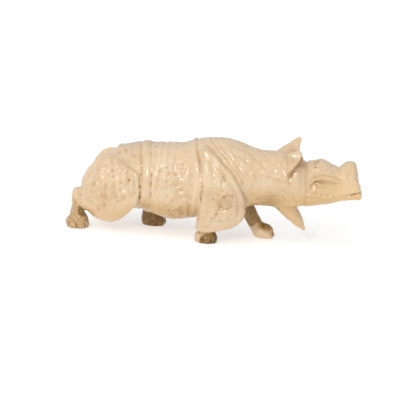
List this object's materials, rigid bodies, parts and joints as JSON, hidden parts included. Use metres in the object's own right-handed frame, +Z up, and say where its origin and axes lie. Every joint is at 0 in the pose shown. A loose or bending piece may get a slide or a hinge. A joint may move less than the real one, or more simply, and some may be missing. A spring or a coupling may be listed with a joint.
{
  "type": "animal figurine",
  "caption": "Figurine of a walking rhinoceros with folds of armour, a worn horn stump, ears and a pointed throat fold, carved in one solid piece that stands on its flat soles.",
  "frame": {"origin": "on the ground, under the middle of the figure's bounding box", "axes": "+X runs towards the head, +Y towards the side turned away from the picture, and +Z up"},
  "size_m": [0.14, 0.0398, 0.0511],
  "materials": {
    "ivory": "polished"
  },
  "bodies": {
    "root": {"rhinoceros": "ivory"}
  },
  "joints": []
}
